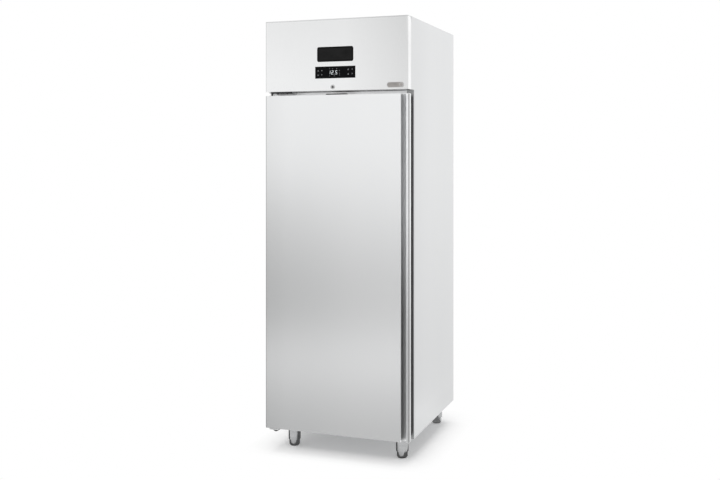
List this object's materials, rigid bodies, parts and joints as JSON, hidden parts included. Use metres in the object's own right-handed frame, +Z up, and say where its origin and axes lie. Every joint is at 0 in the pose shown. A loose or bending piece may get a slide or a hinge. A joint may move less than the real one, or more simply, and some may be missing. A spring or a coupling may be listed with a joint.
{
  "type": "refrigerated cabinet",
  "caption": "Tall stainless refrigerated cabinet with one solid hinged door, integrated full-height finger channel, tilting header with touch control, and round adjustable feet.",
  "frame": {"origin": "middle of the footprint of the whole cabinet, on the floor", "axes": "+Z up, -Y out of the door, +X to the right as seen from the front"},
  "size_m": [0.72, 0.8, 2.07],
  "materials": {
    "stainless_sheet": "satin",
    "stainless_liner": "satin",
    "stainless_wire": "polished",
    "galvanised_sheet": "matte",
    "foam": "matte",
    "grey_plastic": "matte",
    "black_plastic": "matte",
    "black_glass": "glossy",
    "badge_grey": "satin",
    "lock_metal": "satin",
    "gasket_rubber": "matte",
    "compressor_paint": "satin",
    "coil_fins": "satin",
    "copper_pipe": "satin",
    "bracket_paint": "satin",
    "lamp_cover": "satin",
    "box_plastic": "matte"
  },
  "bodies": {
    "cabinet": {"side_panel_left": "stainless_sheet", "side_panel_right": "stainless_sheet", "rear_panel": "galvanised_sheet", "top_panel": "galvanised_sheet", "base_panel": "galvanised_sheet", "upper_front_rail": "stainless_sheet", "machine_deck": "galvanised_sheet", "front_frame": "grey_plastic", "insulation": "foam", "liner_left": "stainless_liner", "liner_right": "stainless_liner", "liner_rear": "stainless_liner", "liner_ceiling": "stainless_liner", "liner_floor": "stainless_liner", "rack_uprights": "stainless_liner", "shelf_runners": "stainless_liner", "grid_shelf_1": "stainless_wire", "grid_shelf_2": "stainless_wire", "grid_shelf_3": "stainless_wire", "cabin_lamp": "lamp_cover", "evaporator_box": "box_plastic", "evaporator_coil": "coil_fins", "drip_tray": "galvanised_sheet", "evaporator_fan_motor": "black_plastic", "evaporator_fan_guard": "stainless_liner", "compressor": "compressor_paint", "condenser": "coil_fins", "condenser_shroud": "galvanised_sheet", "condenser_fan_motor": "black_plastic", "filter_drier": "copper_pipe", "refrigerant_pipes": "copper_pipe", "condensate_tray": "galvanised_sheet", "electrical_box": "box_plastic", "rear_grille": "galvanised_sheet", "cable_gland": "black_plastic", "upper_hinge_bracket": "bracket_paint", "lower_hinge_bracket": "stainless_sheet", "closer_cam": "black_plastic", "dashboard_hinges": "galvanised_sheet", "leg_sleeves": "stainless_sheet"},
    "door": {"door_outer_panel": "stainless_sheet", "handle_profile": "stainless_sheet", "door_insulation": "foam", "door_inner_panel": "grey_plastic", "door_gasket": "gasket_rubber", "hinge_bushes": "black_plastic", "lock_keeper": "black_plastic"},
    "dashboard": {"dashboard_panel": "stainless_sheet", "touch_control": "black_glass", "control_box": "black_plastic", "name_plate": "black_glass", "badge": "badge_grey", "lock_housing": "lock_metal"},
    "lock": {"lock_cylinder": "lock_metal"},
    "evaporator_fan": {"evaporator_fan": "black_plastic"},
    "condenser_fan": {"condenser_fan": "black_plastic"},
    "foot_front_left": {"foot_front_left": "stainless_sheet"},
    "foot_front_right": {"foot_front_right": "stainless_sheet"},
    "foot_rear_left": {"foot_rear_left": "stainless_sheet"},
    "foot_rear_right": {"foot_rear_right": "stainless_sheet"}
  },
  "joints": [
    {"name": "door_hinge", "type": "hinge", "parent": "cabinet", "child": "door", "pos_m": [-0.338, -0.3748, 0.917], "axis": [0, 0, -1], "range_deg": [0, 110], "stiffness_Nm_per_rad": 1.5, "springref_deg": -17.19},
    {"name": "dashboard_hinge", "type": "hinge", "parent": "cabinet", "child": "dashboard", "pos_m": [0, -0.3658, 2.064], "axis": [-1, 0, 0], "range_deg": [0, 75]},
    {"name": "lock_turn", "type": "hinge", "parent": "dashboard", "child": "lock", "pos_m": [-0.012, -0.3743, 1.75], "axis": [0, 1, 0], "range_deg": [0, 90]},
    {"name": "evaporator_fan_spin", "type": "hinge", "parent": "cabinet", "child": "evaporator_fan", "pos_m": [-0.105, -0.1298, 1.71], "axis": [0, 0, 1], "continuous": true},
    {"name": "condenser_fan_spin", "type": "hinge", "parent": "cabinet", "child": "condenser_fan", "pos_m": [0.229, 0.33, 1.893], "axis": [0, 1, 0], "continuous": true},
    {"name": "foot_front_left_slide", "type": "slide", "parent": "cabinet", "child": "foot_front_left", "axis": [0, 0, -1], "range_m": [-0.025, 0.03]},
    {"name": "foot_front_right_slide", "type": "slide", "parent": "cabinet", "child": "foot_front_right", "axis": [0, 0, -1], "range_m": [-0.025, 0.03]},
    {"name": "foot_rear_left_slide", "type": "slide", "parent": "cabinet", "child": "foot_rear_left", "axis": [0, 0, -1], "range_m": [-0.025, 0.03]},
    {"name": "foot_rear_right_slide", "type": "slide", "parent": "cabinet", "child": "foot_rear_right", "axis": [0, 0, -1], "range_m": [-0.025, 0.03]}
  ]
}
